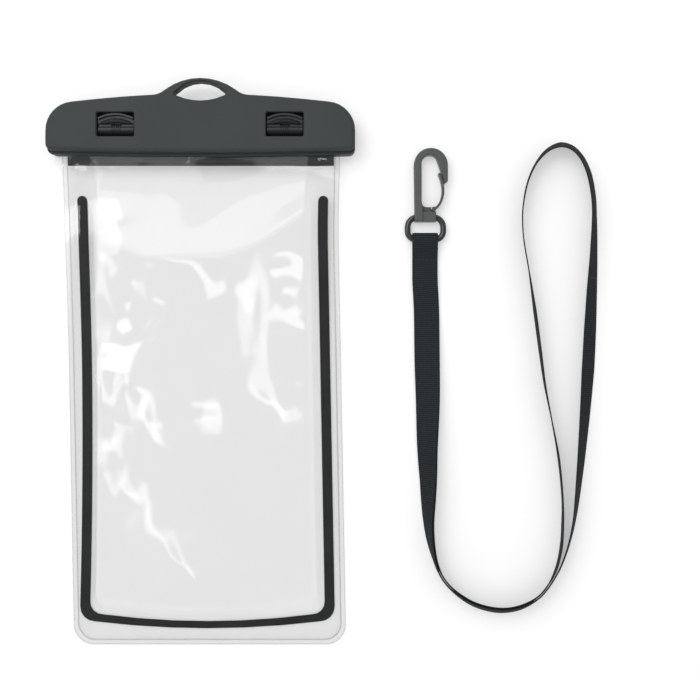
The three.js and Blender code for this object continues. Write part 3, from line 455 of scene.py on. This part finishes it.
def outline_run(side, foot, top, radius, follow, rows, columns, corner_steps=8):
    """A closed run of plan points at one inset.

    It goes down the left side, along the foot, up the right side and back along the top.
    follow is 0 for a run parallel to the pouch's edge and 1 for one parallel to the band.
    """
    low = FOOT_Y + foot
    high = MOUTH_TOP_Y - top

    def edge(sign, y):
        down = clamp01((TRAY_SWAY_FROM_Y - y) / (TRAY_SWAY_FROM_Y - TRAY_SWAY_TO_Y))
        swayed = TRAY_SHIFT_X - (TRAY_SWAY * down**2 if sign < 0 else 0)
        return centre_x(y) + follow * swayed + sign * (half_width(y) - side)

    def corner(sign, turn):
        y = low + radius * (1 - math.sin(turn))
        return edge(sign, y) - sign * radius * (1 - math.cos(turn)), y

    straight = rows - corner_steps

    def side_run(sign):
        run = []
        for i in range(rows + 1):
            if i <= straight:
                y = high + (low + radius - high) * (i / straight) ** 1.15
                run.append((edge(sign, y), y))
            else:
                run.append(corner(sign, (i - straight) / corner_steps * math.pi / 4))
        return run

    foot_run = []
    for j in range(1, columns):
        if j < corner_steps:
            foot_run.append(corner(-1, math.pi / 4 * (1 + j / corner_steps)))
        elif j > columns - corner_steps:
            foot_run.append(corner(1, math.pi / 4 * (1 + (columns - j) / corner_steps)))
        else:
            start, end = edge(-1, low) + radius, edge(1, low) - radius
            share = (j - corner_steps) / (columns - 2 * corner_steps)
            sag = follow * TRAY_FOOT_SAG * (1 - (2 * share - 1) ** 2)
            foot_run.append((start + (end - start) * share, low - sag))
    left, right = edge(-1, high), edge(1, high)
    top_run = [(right + (left - right) * j / columns, high) for j in range(1, columns)]
    return [*side_run(-1), *foot_run, *reversed(side_run(1)), *top_run]


def sheet_grid(outlines, rows, columns):
    """Plan points, the outline of each, and faces: nested outlines with the inside filled."""
    runs = [outline_run(**o, rows=rows, columns=columns) for o in outlines]
    count = len(runs[0])
    points = [p for run in runs for p in run]
    rings = [r for r, run in enumerate(runs) for _ in run]
    faces = []
    for r in range(len(runs) - 1):
        for i in range(count):
            j = (i + 1) % count
            faces.append((r * count + i, r * count + j, (r + 1) * count + j, (r + 1) * count + i))
    inner = (len(runs) - 1) * count
    right_top = inner + 2 * rows + columns
    corner_points = [points[k] for k in (inner, right_top, inner + rows, inner + rows + columns)]
    index = []
    for row in range(rows + 1):
        line = []
        for column in range(columns + 1):
            if column == 0:
                line.append(inner + row)
            elif row == rows:
                line.append(inner + rows + column)
            elif column == columns:
                line.append(right_top - row)
            elif row == 0:
                line.append(inner + count - column)
            else:
                s, d = column / columns, row / rows
                left, right = points[inner + row], points[right_top - row]
                above, below = points[inner + count - column], points[inner + rows + column]
                a, b, c, e = corner_points
                line.append(len(points))
                points.append(
                    tuple(
                        left[k] * (1 - s)
                        + right[k] * s
                        + above[k] * (1 - d)
                        + below[k] * d
                        - (a[k] * (1 - s) + b[k] * s) * (1 - d)
                        - (c[k] * (1 - s) + e[k] * s) * d
                        for k in (0, 1)
                    )
                )
                rings.append(len(runs) - 1)
        index.append(line)
    for row in range(rows):
        for column in range(columns):
            faces.append(
                (
                    index[row][column],
                    index[row + 1][column],
                    index[row + 1][column + 1],
                    index[row][column + 1],
                )
            )
    return points, rings, faces, list(range(count))


def add_sheet(name, points, faces, rim, lower, thickness):
    """A closed thin sheet over plan points, with its lower face at the heights in lower."""
    count = len(points)
    corners = [Vector((x, y, z)) * MM for (x, y), z in zip(points, lower)]
    corners += [c + Vector((0, 0, thickness * MM)) for c in corners]
    shell = [tuple(reversed(f)) for f in faces]
    shell += [tuple(i + count for i in f) for f in faces]
    for k, here in enumerate(rim):
        following = rim[(k + 1) % len(rim)]
        shell.append((here, following, following + count, here + count))
    return add_mesh(name, corners, shell)


# The film's edge and the weld line inside it look darker:
# inset in millimetres, and clearness from 0 to 1.
RIM_TONES = ((0, 0.8), (0.2, 0.85), (0.45, 1), (1.55, 1), (1.8, 0.72), (2.05, 0.75), (2.3, 0.97))
INNER_CLEARNESS = 0.99


def rim_outlines():
    """One outline for each tone of the rim, from the edge inwards."""
    return [
        dict(
            side=inset,
            foot=inset,
            top=0.1 + inset * 0.25,
            radius=FOOT_CORNER_RADIUS - inset * 0.7,
            follow=0,
        )
        for inset, _ in RIM_TONES
    ]


def set_clearness(film, rings):
    """Keep on each point how clear the film is there, for both faces of the sheet."""
    tones = [RIM_TONES[ring][1] if ring < len(RIM_TONES) else INNER_CLEARNESS for ring in rings]
    layer = film.data.attributes.new("clearness", "FLOAT", "POINT")
    layer.data.foreach_set("value", tones + tones)


ROWS = 96
COLUMNS = 44
WALL_SHARES = (0, 0.07, 0.15, 0.24, 0.34, 0.45, 0.56, 0.68, 0.8, 0.9, 1, 1.14)


def panel_relief(x, y):
    """Slow waves and small slanting dents of the soft film over the tray, in millimetres."""
    along, across = (x + 1.7 * y) / 1.97, (1.7 * x - y) / 1.97
    slack = wave(x, y, 40, 1.0) * 0.14
    slanting = wave(along * 0.42, across, 13, 5.0) * 0.1 * ease(clamp01((y + 25) / 40))
    dents = wave(x * 0.8, y * 1.15, 11, 21.0) * 0.055
    mouth = ease(clamp01((y - 30) / 30)) * (1 - ease(clamp01((y - 70) / 10)))
    return slack + slanting + dents + wave(x, y * 0.5, 26, 9.0) * 0.3 * mouth


def make_film_front():
    outlines = rim_outlines()
    # Halfway between the rim and the foot of the tray's wall.
    outlines.append(dict(side=5.5, foot=6.2, top=1.3, radius=6.2, follow=0.5))
    first_wall = len(outlines)
    for share in WALL_SHARES:
        outlines.append(
            dict(
                side=WALL_INSET_SIDE + TRAY_RUN_SIDE * share,
                foot=WALL_INSET_FOOT + TRAY_RUN_FOOT * share,
                top=2 + 4 * share,
                radius=6 - 1.5 * share,
                follow=1,
            )
        )
    points, rings, faces, rim = sheet_grid(outlines, ROWS, COLUMNS)
    lower = []
    for (x, y), ring in zip(points, rings):
        if y > CLAMP_EDGE_Y - 8:
            inset = half_width(y) - abs(x - centre_x(y) - TRAY_SHIFT_X) - WALL_INSET_SIDE
            share = ease(clamp01(inset / TRAY_RUN_SIDE))
        elif ring < first_wall:
            share = 0
        else:
            share = ease(min(1, WALL_SHARES[min(ring, len(outlines) - 1) - first_wall]) ** 0.85)
        up = share * tray_end(x, y)
        rest = front_rest(y)
        z = rest + (panel_top(x, y) - FILM - rest) * up
        z += panel_relief(x, y) * share * ease(clamp01(up * 3))
        if ring < len(RIM_TONES):
            welded = 1 - ease(clamp01((RIM_TONES[ring][0] - WELD_WIDTH) / WELD_STEP))
            z -= (BAND + SEAM) * welded
        elif ring < first_wall and y < KINK_Y:
            z += wave(x, y, 9, 3.0) * 0.04
        lower.append(z)
    film = add_sheet("film_front_skin", points, faces, rim, lower, FILM)
    set_clearness(film, rings)
    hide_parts("film_front")
    return film


def make_film_back():
    outlines = rim_outlines()
    outlines.append(dict(side=12, foot=14, top=3, radius=5, follow=0))
    points, rings, faces, rim = sheet_grid(outlines, ROWS, COLUMNS)
    lower = []
    for (x, y), ring in zip(points, rings):
        free = 1 - ease(clamp01((y - 60) / 18))
        ripple = wave(x, y, 24, 12.0) * 0.04 * free if ring == len(RIM_TONES) else 0
        lower.append(lift(y) + max(0.0, ripple))
    film = add_sheet("film_back_skin", points, faces, rim, lower, FILM)
    set_clearness(film, rings)
    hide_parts("film_back")
    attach(film, "pouch")
    return film


def make_mouth_strip():
    """The dark strip behind the front film, with its lower edge a little wavy."""
    half = STRIP_HALF_WIDTH
    foot = KINK_Y - STRIP_SHOWS
    head = MOUTH_TOP_Y - STRIP_SHORT
    across, down = 120, 8
    points = []
    for i in range(down + 1):
        for j in range(across + 1):
            x = MOUTH_CENTRE_X - half + 2 * half * j / across
            edge = foot + wave(x, 0, 17, 2.0) * 0.25 + wave(x, 0, 5, 4.0) * 0.06
            points.append((x, head + (edge - head) * i / down))
    faces = []
    for i in range(down):
        for j in range(across):
            a = i * (across + 1) + j
            faces.append((a, a + across + 1, a + across + 2, a + 1))
    left = [i * (across + 1) for i in range(down + 1)]
    bottom = [down * (across + 1) + j for j in range(1, across + 1)]
    right = [i * (across + 1) + across for i in range(down - 1, -1, -1)]
    top = [j for j in range(across - 1, 0, -1)]
    lower = []
    for x, y in points:
        hidden = clamp01((y - KINK_Y + 1) / 1)
        lower.append(front_rest(y) - SEAM - STRIP + wave(x, y, 7, 6.0) * 0.06 * (1 - hidden))
    strip = add_sheet("mouth_strip_skin", points, faces, [*left, *bottom, *right, *top], lower, STRIP)
    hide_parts("mouth_strip_front")
    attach(strip, "front_half")
    return strip


film_front = make_film_front()
film_back = make_film_back()
mouth_strip = make_mouth_strip()
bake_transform(film_front)


# Materials


def linear(*rgb):
    """An sRGB colour, 0 to 255, as linear light."""
    out = []
    for value in rgb:
        c = value / 255
        out.append(c / 12.92 if c <= 0.04045 else ((c + 0.055) / 1.055) ** 2.4)
    return (*out, 1.0)


class Nodes:
    """A material's node tree, with short calls for its nodes and links."""

    def __init__(self, name):
        self.material = bpy.data.materials.new(name)
        self.material.use_nodes = True
        self.tree = self.material.node_tree
        self.shader = self.tree.nodes["Principled BSDF"]
        self.output = self.tree.nodes["Material Output"]

    def add(self, kind, **values):
        node = self.tree.nodes.new(kind)
        for key, value in values.items():
            if key in node.inputs:
                node.inputs[key].default_value = value
            else:
                setattr(node, key, value)
        return node

    def link(self, source, target):
        self.tree.links.new(source, target)

    def math(self, operation, a, b=0.0):
        node = self.add("ShaderNodeMath", operation=operation)
        for socket, value in zip(node.inputs, (a, b)):
            if isinstance(value, (int, float)):
                socket.default_value = value
            else:
                self.link(value, socket)
        return node.outputs[0]

    def ramp(self, source, stops):
        node = self.add("ShaderNodeValToRGB")
        ramp = node.color_ramp
        while len(ramp.elements) < len(stops):
            ramp.elements.new(0.5)
        for element, (place, color) in zip(ramp.elements, stops):
            element.position = place
            element.color = color
        self.link(source, node.inputs["Fac"])
        return node.outputs["Color"]

    def noise(self, scale, detail=3.0, coordinates=None, rough=0.5):
        node = self.add("ShaderNodeTexNoise", Scale=scale, Detail=detail, Roughness=rough)
        if coordinates is not None:
            self.link(coordinates, node.inputs["Vector"])
        return node.outputs["Fac"]

    def bump(self, height, distance, strength=1.0, normal=None):
        node = self.add("ShaderNodeBump", Strength=strength, Distance=distance)
        self.link(height, node.inputs["Height"])
        if normal is not None:
            self.link(normal, node.inputs["Normal"])
        return node.outputs["Normal"]

    def object_coordinates(self):
        return self.add("ShaderNodeTexCoord").outputs["Object"]


def moulded(name, color, roughness, grain=0.25, spread=6, specular=0.5, edge=0.35):
    """Moulded plastic: a fine sparked grain, faint mottling and rounded edges."""
    n = Nodes(name)
    place = n.object_coordinates()
    base = linear(*color)
    low = linear(*(max(0, c - spread) for c in color))
    mottling = n.noise(55, 4, place)
    n.link(n.ramp(mottling, [(0.3, low), (0.7, base)]), n.shader.inputs["Base Color"])
    fine = n.noise(2600, 2, place)
    rough = n.math("ADD", roughness - 0.06, n.math("MULTIPLY", fine, 0.12))
    n.link(rough, n.shader.inputs["Roughness"])
    n.shader.inputs["Specular IOR Level"].default_value = specular
    rounded = n.add("ShaderNodeBevel", samples=4, Radius=edge * MM)
    n.link(
        n.bump(fine, 0.05 * MM, grain, rounded.outputs["Normal"]),
        n.shader.inputs["Normal"],
    )
    return n.material


# What the film reflects, at a glance and from straight above.
GLANCE_SHARE = 0.35
FACING_SHARE = 0.028


def clear_film(name, tint, rim_tint, haze):
    """Clear soft film: it lets most light through, with a glossy face, a faint haze and a darker rim."""
    n = Nodes(name)
    place = n.object_coordinates()
    # Ripples of the soft film: small dents, and creases drawn out along a slant.
    slanted = n.add("ShaderNodeMapping", Rotation=(0, 0, math.radians(-32)), Scale=(1, 0.4, 1))
    n.link(place, slanted.inputs["Vector"])
    creases = n.noise(110, 0, slanted.outputs["Vector"])
    ripples = n.math("ADD", n.math("MULTIPLY", n.noise(60, 0, place), 0.8), creases)
    normal = n.bump(ripples, 0.16 * MM, 0.5)
    clearness = n.add("ShaderNodeAttribute", attribute_name="clearness").outputs["Fac"]
    clear = n.add("ShaderNodeBsdfTransparent")
    n.link(n.ramp(clearness, [(0, rim_tint), (1, tint)]), clear.inputs["Color"])
    gloss = n.add("ShaderNodeBsdfGlossy", Roughness=0.035)
    gloss.inputs["Color"].default_value = (1, 1, 1, 1)
    n.link(normal, gloss.inputs["Normal"])
    # The share reflected by the outer face of thin clear film: little from above, more at a glance.
    facing = n.add("ShaderNodeLayerWeight", Blend=0.5)
    n.link(normal, facing.inputs["Normal"])
    glance = n.math("POWER", facing.outputs["Facing"], 4.0)
    share = n.math("ADD", n.math("MULTIPLY", glance, GLANCE_SHARE), FACING_SHARE)
    inner = n.add("ShaderNodeNewGeometry").outputs["Backfacing"]
    share = n.math("MULTIPLY", share, n.math("SUBTRACT", 1.0, inner))
    surface = n.add("ShaderNodeMixShader")
    n.link(share, surface.inputs[0])
    n.link(clear.outputs[0], surface.inputs[1])
    n.link(gloss.outputs[0], surface.inputs[2])
    n.shader.inputs["Base Color"].default_value = linear(222, 224, 223)
    n.shader.inputs["Roughness"].default_value = 0.4
    clouds = n.noise(38, 4, place, 0.6)
    amount = n.math("MULTIPLY", clouds, haze * 2)
    hazy = n.add("ShaderNodeMixShader")
    n.link(amount, hazy.inputs[0])
    n.link(surface.outputs[0], hazy.inputs[1])
    n.link(n.shader.outputs[0], hazy.inputs[2])
    n.link(hazy.outputs[0], n.output.inputs["Surface"])
    return n.material


WARP_PITCH = 0.55


def woven(name, color, pitch):
    """Ribbed webbing: cross ribs along the strap and finer warp threads across them."""
    n = Nodes(name)
    uv = n.add("ShaderNodeUVMap", uv_map="UVMap").outputs["UV"]
    parts = n.add("ShaderNodeSeparateXYZ")
    n.link(uv, parts.inputs[0])
    turns = n.math("MULTIPLY", parts.outputs["X"], 2 * math.pi * 1000 / pitch)
    ribs = n.math("ADD", n.math("MULTIPLY", n.math("SINE", turns), 0.5), 0.5)
    threads = n.math("MULTIPLY", parts.outputs["Y"], 2 * math.pi * 1000 / WARP_PITCH)
    warp = n.math("ADD", n.math("MULTIPLY", n.math("SINE", threads), 0.5), 0.5)
    fuzz = n.noise(900, 3, n.object_coordinates())
    fine = n.math("ADD", n.math("MULTIPLY", warp, 0.3), n.math("MULTIPLY", fuzz, 0.5))
    height = n.math("ADD", ribs, fine)
    # Colour follows the relief: darker in the troughs between ribs and threads and lighter on their
    # crests, painted shade and light; the fuzz also adds random tone.
    dark = linear(*(c * 0.66 for c in color))
    light = linear(*(min(255, c * 1.24) for c in color))
    colour = n.ramp(n.math("DIVIDE", height, 1.8), [(0.1, dark), (0.85, light)])
    n.link(colour, n.shader.inputs["Base Color"])
    n.shader.inputs["Roughness"].default_value = 0.85
    n.shader.inputs["Specular IOR Level"].default_value = 0.1
    n.link(n.bump(height, 0.12 * MM, 0.8), n.shader.inputs["Normal"])
    return n.material


def thread(name, color):
    n = Nodes(name)
    ply = n.add("ShaderNodeTexWave", Scale=1400, Distortion=1.0)
    n.link(n.object_coordinates(), ply.inputs["Vector"])
    # Colour follows the twist: darker in the grooves between the plies and lighter on them, painted
    # shade in the grooves.
    dark = linear(*(c * 0.6 for c in color))
    colour = n.ramp(ply.outputs["Fac"], [(0.2, dark), (0.8, linear(*color))])
    n.link(colour, n.shader.inputs["Base Color"])
    n.shader.inputs["Roughness"].default_value = 0.6
    n.link(n.bump(ply.outputs["Fac"], 0.04 * MM), n.shader.inputs["Normal"])
    return n.material


def soft_sheet(name, color, roughness, spread=8):
    """Soft dark film or rubber with a faint cloudy sheen."""
    n = Nodes(name)
    place = n.object_coordinates()
    clouds = n.noise(120, 4, place, 0.6)
    low = linear(*(max(0, c - spread) for c in color))
    n.link(n.ramp(clouds, [(0.3, low), (0.7, linear(*color))]), n.shader.inputs["Base Color"])
    n.link(
        n.math("ADD", n.math("MULTIPLY", n.noise(800, 2, place), 0.15), roughness - 0.07),
        n.shader.inputs["Roughness"],
    )
    n.link(n.bump(clouds, 0.1 * MM, 0.4), n.shader.inputs["Normal"])
    n.shader.inputs["Specular IOR Level"].default_value = 0.2
    return n.material


def paint(piece, material):
    piece.data.materials.clear()
    piece.data.materials.append(material)


clamp_plastic = moulded("clamp_plastic", (60, 65, 66), 0.55, grain=0.3, spread=3, specular=0.22)
latch_plastic = moulded("latch_plastic", (30, 34, 37), 0.3, grain=0.1, spread=3, specular=0.35, edge=0.2)
hook_plastic = moulded("hook_plastic", (82, 86, 85), 0.36, grain=0.2, spread=8, specular=0.45, edge=0.45)
ring_plastic = moulded("ring_plastic", (48, 52, 53), 0.28, grain=0.1, spread=5, specular=0.6, edge=0.2)
film_material = clear_film("clear_film", (0.981, 0.982, 0.98, 1), (0.62, 0.63, 0.63, 1), 0.006)
band_material = soft_sheet("band_black", (30, 34, 35), 0.5)
strip_material = soft_sheet("strip_dark", (50, 54, 55), 0.5)
gasket_material = soft_sheet("gasket_rubber", (44, 46, 47), 0.7)
webbing_material = woven("webbing_weave", (40, 44, 47), 0.82)
thread_material = thread("thread_dark", (58, 62, 64))

finishes = {
    "clamp_front": clamp_plastic,
    "clamp_back": clamp_plastic,
    "latch_left": latch_plastic,
    "latch_right": latch_plastic,
    "hook_body": hook_plastic,
    "hook_gate": hook_plastic,
    "hook_ring": ring_plastic,
    "black_border": band_material,
    "mouth_strip_back": strip_material,
    "mouth_gasket": gasket_material,
}
for node, finish in finishes.items():
    paint(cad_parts[node], finish)
for piece, finish in (
    (film_front, film_material),
    (film_back, film_material),
    (mouth_strip, strip_material),
    (strap, webbing_material),
    (stitches, thread_material),
):
    paint(piece, finish)


# Floor, world and lamps

FLOOR_HALF_WIDTH = 1.6
FLOOR_BASE = 0.66
FLOOR_GLOW = 0.37
FLOOR_Z = -0.1 * MM  # a hair below the object, so that the two surfaces don't meet


def seen_directly(tree):
    """A socket that is 1 for what the camera, a mirror or glass sees, and 0 for light on the object."""
    path = tree.nodes.new("ShaderNodeLightPath")
    total = path.outputs["Is Camera Ray"]
    for name in ("Is Glossy Ray", "Is Transmission Ray"):
        node = tree.nodes.new("ShaderNodeMath")
        node.operation = "MAXIMUM"
        tree.links.new(total, node.inputs[0])
        tree.links.new(path.outputs[name], node.inputs[1])
        total = node.outputs[0]
    return total


def add_floor():
    half = FLOOR_HALF_WIDTH
    corners = [(-half, -half, 0), (half, -half, 0), (half, half, 0), (-half, half, 0)]
    floor = add_mesh("floor", corners, [(0, 1, 2, 3)], smooth=False)
    floor.location = (CAMERA_X, CAMERA_Y, FLOOR_Z)
    n = Nodes("floor_pale")
    n.shader.inputs["Base Color"].default_value = (FLOOR_BASE,) * 3 + (1,)
    n.shader.inputs["Roughness"].default_value = 0.9
    n.shader.inputs["Specular IOR Level"].default_value = 0.1
    n.shader.inputs["Emission Color"].default_value = (1, 1, 1, 1)
    glow = n.math("MULTIPLY", seen_directly(n.tree), FLOOR_GLOW)
    n.link(glow, n.shader.inputs["Emission Strength"])
    paint(floor, n.material)


# By height, 0 at the horizon and 1 straight overhead: the light that falls on the object, and what a
# gloss on it shows of the studio, which is white round the sides with a dim ceiling above the camera.
STUDIO_LIGHT = ((0.0, 0.32), (1.0, 0.95))
STUDIO_GLOSS = ((0.0, 1.0), (0.3, 0.85), (0.75, 0.22), (1.0, 0.14))


def set_world():
    world = bpy.data.worlds.new("studio")
    bpy.context.scene.world = world
    world.use_nodes = True
    tree = world.node_tree
    background = tree.nodes["Background"]
    background.inputs["Color"].default_value = (1, 1, 1, 1)
    parts = tree.nodes.new("ShaderNodeSeparateXYZ")
    tree.links.new(tree.nodes.new("ShaderNodeTexCoord").outputs["Generated"], parts.inputs[0])

    def by_height(stops):
        node = tree.nodes.new("ShaderNodeValToRGB")
        for element, (height, level) in zip(node.color_ramp.elements, stops):
            element.position = height
            element.color = (level, level, level, 1)
        for height, level in stops[2:]:
            element = node.color_ramp.elements.new(height)
            element.color = (level, level, level, 1)
        tree.links.new(parts.outputs["Z"], node.inputs["Fac"])
        return node.outputs["Color"]

    def mixed(share, a, b):
        node = tree.nodes.new("ShaderNodeMix")
        tree.links.new(share, node.inputs["Factor"])
        tree.links.new(a, node.inputs["A"])
        if isinstance(b, float):
            node.inputs["B"].default_value = b
        else:
            tree.links.new(b, node.inputs["B"])
        return node.outputs["Result"]

    camera_ray = tree.nodes.new("ShaderNodeLightPath").outputs["Is Camera Ray"]
    shown = mixed(camera_ray, by_height(STUDIO_GLOSS), 1.0)
    tree.links.new(
        mixed(seen_directly(tree), by_height(STUDIO_LIGHT), shown),
        background.inputs["Strength"],
    )


def add_lamp(name, place, target, size, power, turn=0.0):
    data = bpy.data.lights.new(name, "AREA")
    data.shape = "RECTANGLE"
    data.size, data.size_y = size
    data.energy = power
    lamp = bpy.data.objects.new(name, data)
    lamp.location = place
    facing = (Vector(target) - Vector(place)).to_track_quat("-Z", "Y")
    lamp.rotation_euler = (facing @ Quaternion((0, 0, 1), math.radians(turn))).to_euler()
    bpy.context.scene.collection.objects.link(lamp)


# Small weak lamps whose mirror images are the film's glints: place on the film and size in
# millimetres, turn in degrees, strength, and how steeply the film rises there.
GLINTS = (
    ((0, 46), (8, 42), -31, 1.0, 0),
    ((-36, 30), (7, 16), -28, 0.7, 0),
    ((40, 26), (8, 24), 38, 1.0, 0),
    ((28, -14), (26, 6), 12, 0.9, 0),
    ((4, -20), (8, 10), -20, 0.7, 0),
    ((-22, -20), (24, 5), 15, 0.9, 0),
    ((-38, -3), (13, 6), -25, 0.9, 0),
    ((-38, -33), (12, 8), -35, 0.7, 0),
    ((-28, -51), (20, 4), 0, 0.8, 0),
    ((-14, -70), (34, 3.5), 3, 0.6, 0),
    ((-46, 58), (8, 30), 0, 1.3, 0.08),
)
GLINT_LAMP_HEIGHT = 1.0
GLINT_RADIANCE = 20.0  # watts for each square metre of lamp


def add_glints():
    """A lamp for each glint, placed where the flat panel mirrors it to the camera."""
    panel = TRAY_HEIGHT * MM
    for number, ((x, y), size, turn, strength, rise) in enumerate(GLINTS):
        spot = Vector((x * MM, y * MM, panel))
        camera = Vector((CAMERA_X, CAMERA_Y, CAMERA_HEIGHT))
        reach = (GLINT_LAMP_HEIGHT - panel) / (CAMERA_HEIGHT - panel)
        away = (spot - camera) * reach
        tilted = 2 * rise * (GLINT_LAMP_HEIGHT - panel)
        place = Vector((spot.x + away.x, spot.y + away.y - tilted, GLINT_LAMP_HEIGHT))
        grown = [side * MM * (1 + reach) for side in size]
        power = grown[0] * grown[1] * GLINT_RADIANCE * strength
        add_lamp("glint_%d" % number, place, spot, grown, power, turn)


scene = bpy.context.scene
scene.view_settings.view_transform = "Standard"
add_floor()
set_world()
add_lamp("key", (-0.45, 0.5, 0.95), (0.03, 0, 0), (0.7, 0.7), 3.4)
add_lamp("mouth_glow", (-0.12, 0.37, 1.0), (0.0, 0.05, 0), (0.62, 0.34), 1.3)
add_glints()
